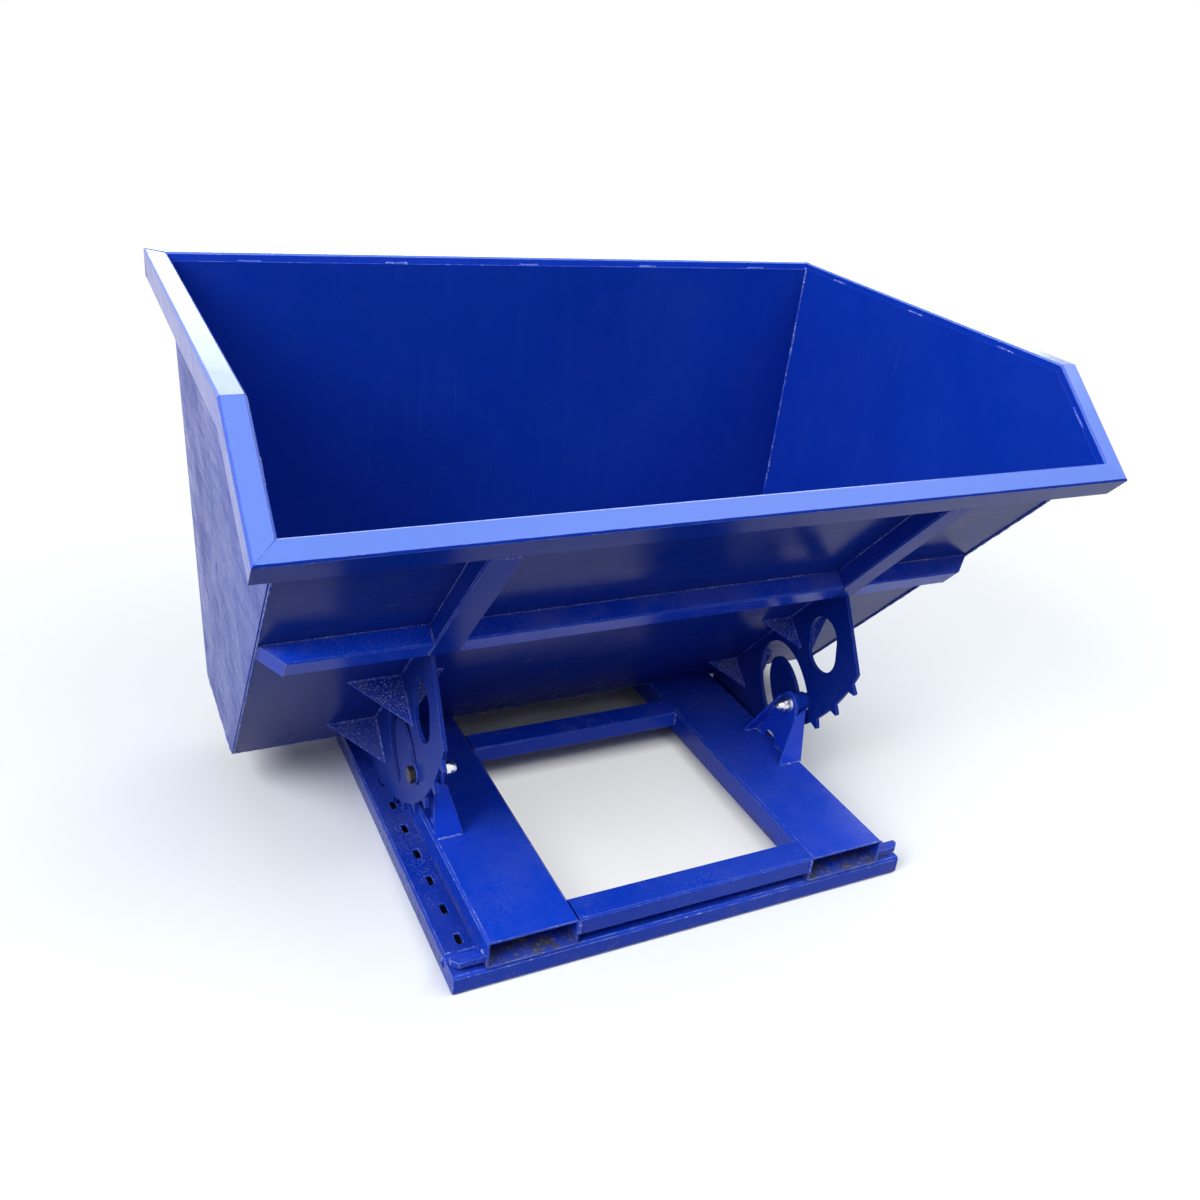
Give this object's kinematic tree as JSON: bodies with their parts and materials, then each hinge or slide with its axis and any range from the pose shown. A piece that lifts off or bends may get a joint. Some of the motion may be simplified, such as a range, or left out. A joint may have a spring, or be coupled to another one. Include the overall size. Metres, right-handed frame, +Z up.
{
  "type": "tipping skip",
  "caption": "Self-tipping steel skip for a fork lift: open hopper with a sloping front that rolls forward on toothed rockers along holes in its base to dump, with fork pockets and a latch.",
  "frame": {"origin": "on the floor under the middle of the overall box", "axes": "+X to the right seen from the dumping side, -Y towards the dumping side, +Z up"},
  "size_m": [1.632, 1.1088, 1.08],
  "materials": {
    "shell_paint": "gloss",
    "rim_paint": "gloss",
    "rocker_paint": "gloss, dusty",
    "frame_paint": "gloss, scuffed",
    "black_bolt": "blackened steel",
    "zinc": "zinc plated",
    "grip": "matt"
  },
  "bodies": {
    "base": {"front_beam": "frame_paint", "rear_beam": "frame_paint", "front_cross_tube": "frame_paint", "middle_cross_tube": "frame_paint", "rear_cross_tube": "frame_paint", "base_rail_right": "frame_paint", "base_rail_left": "frame_paint", "fork_pocket_right": "frame_paint", "fork_pocket_left": "frame_paint", "stop_bar_right": "frame_paint", "stop_bar_left": "frame_paint", "pin_bracket_right": "frame_paint", "pin_bracket_left": "frame_paint", "bracket_ribs_right": "frame_paint", "bracket_ribs_left": "frame_paint", "pin_sleeve_right": "frame_paint", "pin_sleeve_left": "frame_paint", "pin_bolt_right": "black_bolt", "pin_bolt_left": "black_bolt", "pin_nut_right": "zinc", "pin_nut_left": "zinc", "pin_washer_right": "zinc", "pin_washer_left": "zinc", "latch_mounts": "frame_paint", "latch_pin": "zinc"},
    "roll_axis": {"wall_plugs": "shell_paint"},
    "hopper": {"front_panel": "shell_paint", "floor_panel": "shell_paint", "back_panel": "shell_paint", "side_wall_right": "shell_paint", "side_wall_left": "shell_paint", "rim_lip": "rim_paint", "rim_back": "rim_paint", "rim_slope_right": "rim_paint", "rim_slope_left": "rim_paint", "rim_top_right": "rim_paint", "rim_top_left": "rim_paint", "beam_middle": "rim_paint", "beam_right": "rim_paint", "beam_left": "rim_paint", "beam_caps": "rim_paint", "front_rib_right": "rim_paint", "front_rib_left": "rim_paint", "rocker_right": "rocker_paint", "rocker_left": "rocker_paint", "rocker_gussets_right": "rocker_paint", "rocker_gussets_left": "rocker_paint", "latch_catch": "shell_paint"},
    "latch": {"latch_lever": "frame_paint", "latch_grip": "grip"}
  },
  "joints": [
    {"name": "roll", "type": "slide", "parent": "base", "child": "roll_axis", "axis": [0, -1, 0], "range_m": [0, 0.5822]},
    {"name": "tip", "type": "hinge", "parent": "roll_axis", "child": "hopper", "pos_m": [0, 0.13942, 0.547], "axis": [1, 0, 0], "range_deg": [0, 66]},
    {"name": "latch_swing", "type": "hinge", "parent": "base", "child": "latch", "pos_m": [0, 0.53342, 0.084], "axis": [0, 1, 0], "range_deg": [0, 30]}
  ],
  "couplings": [
    {"joint": "roll", "follows": "tip", "m_per_rad": 0.505}
  ]
}
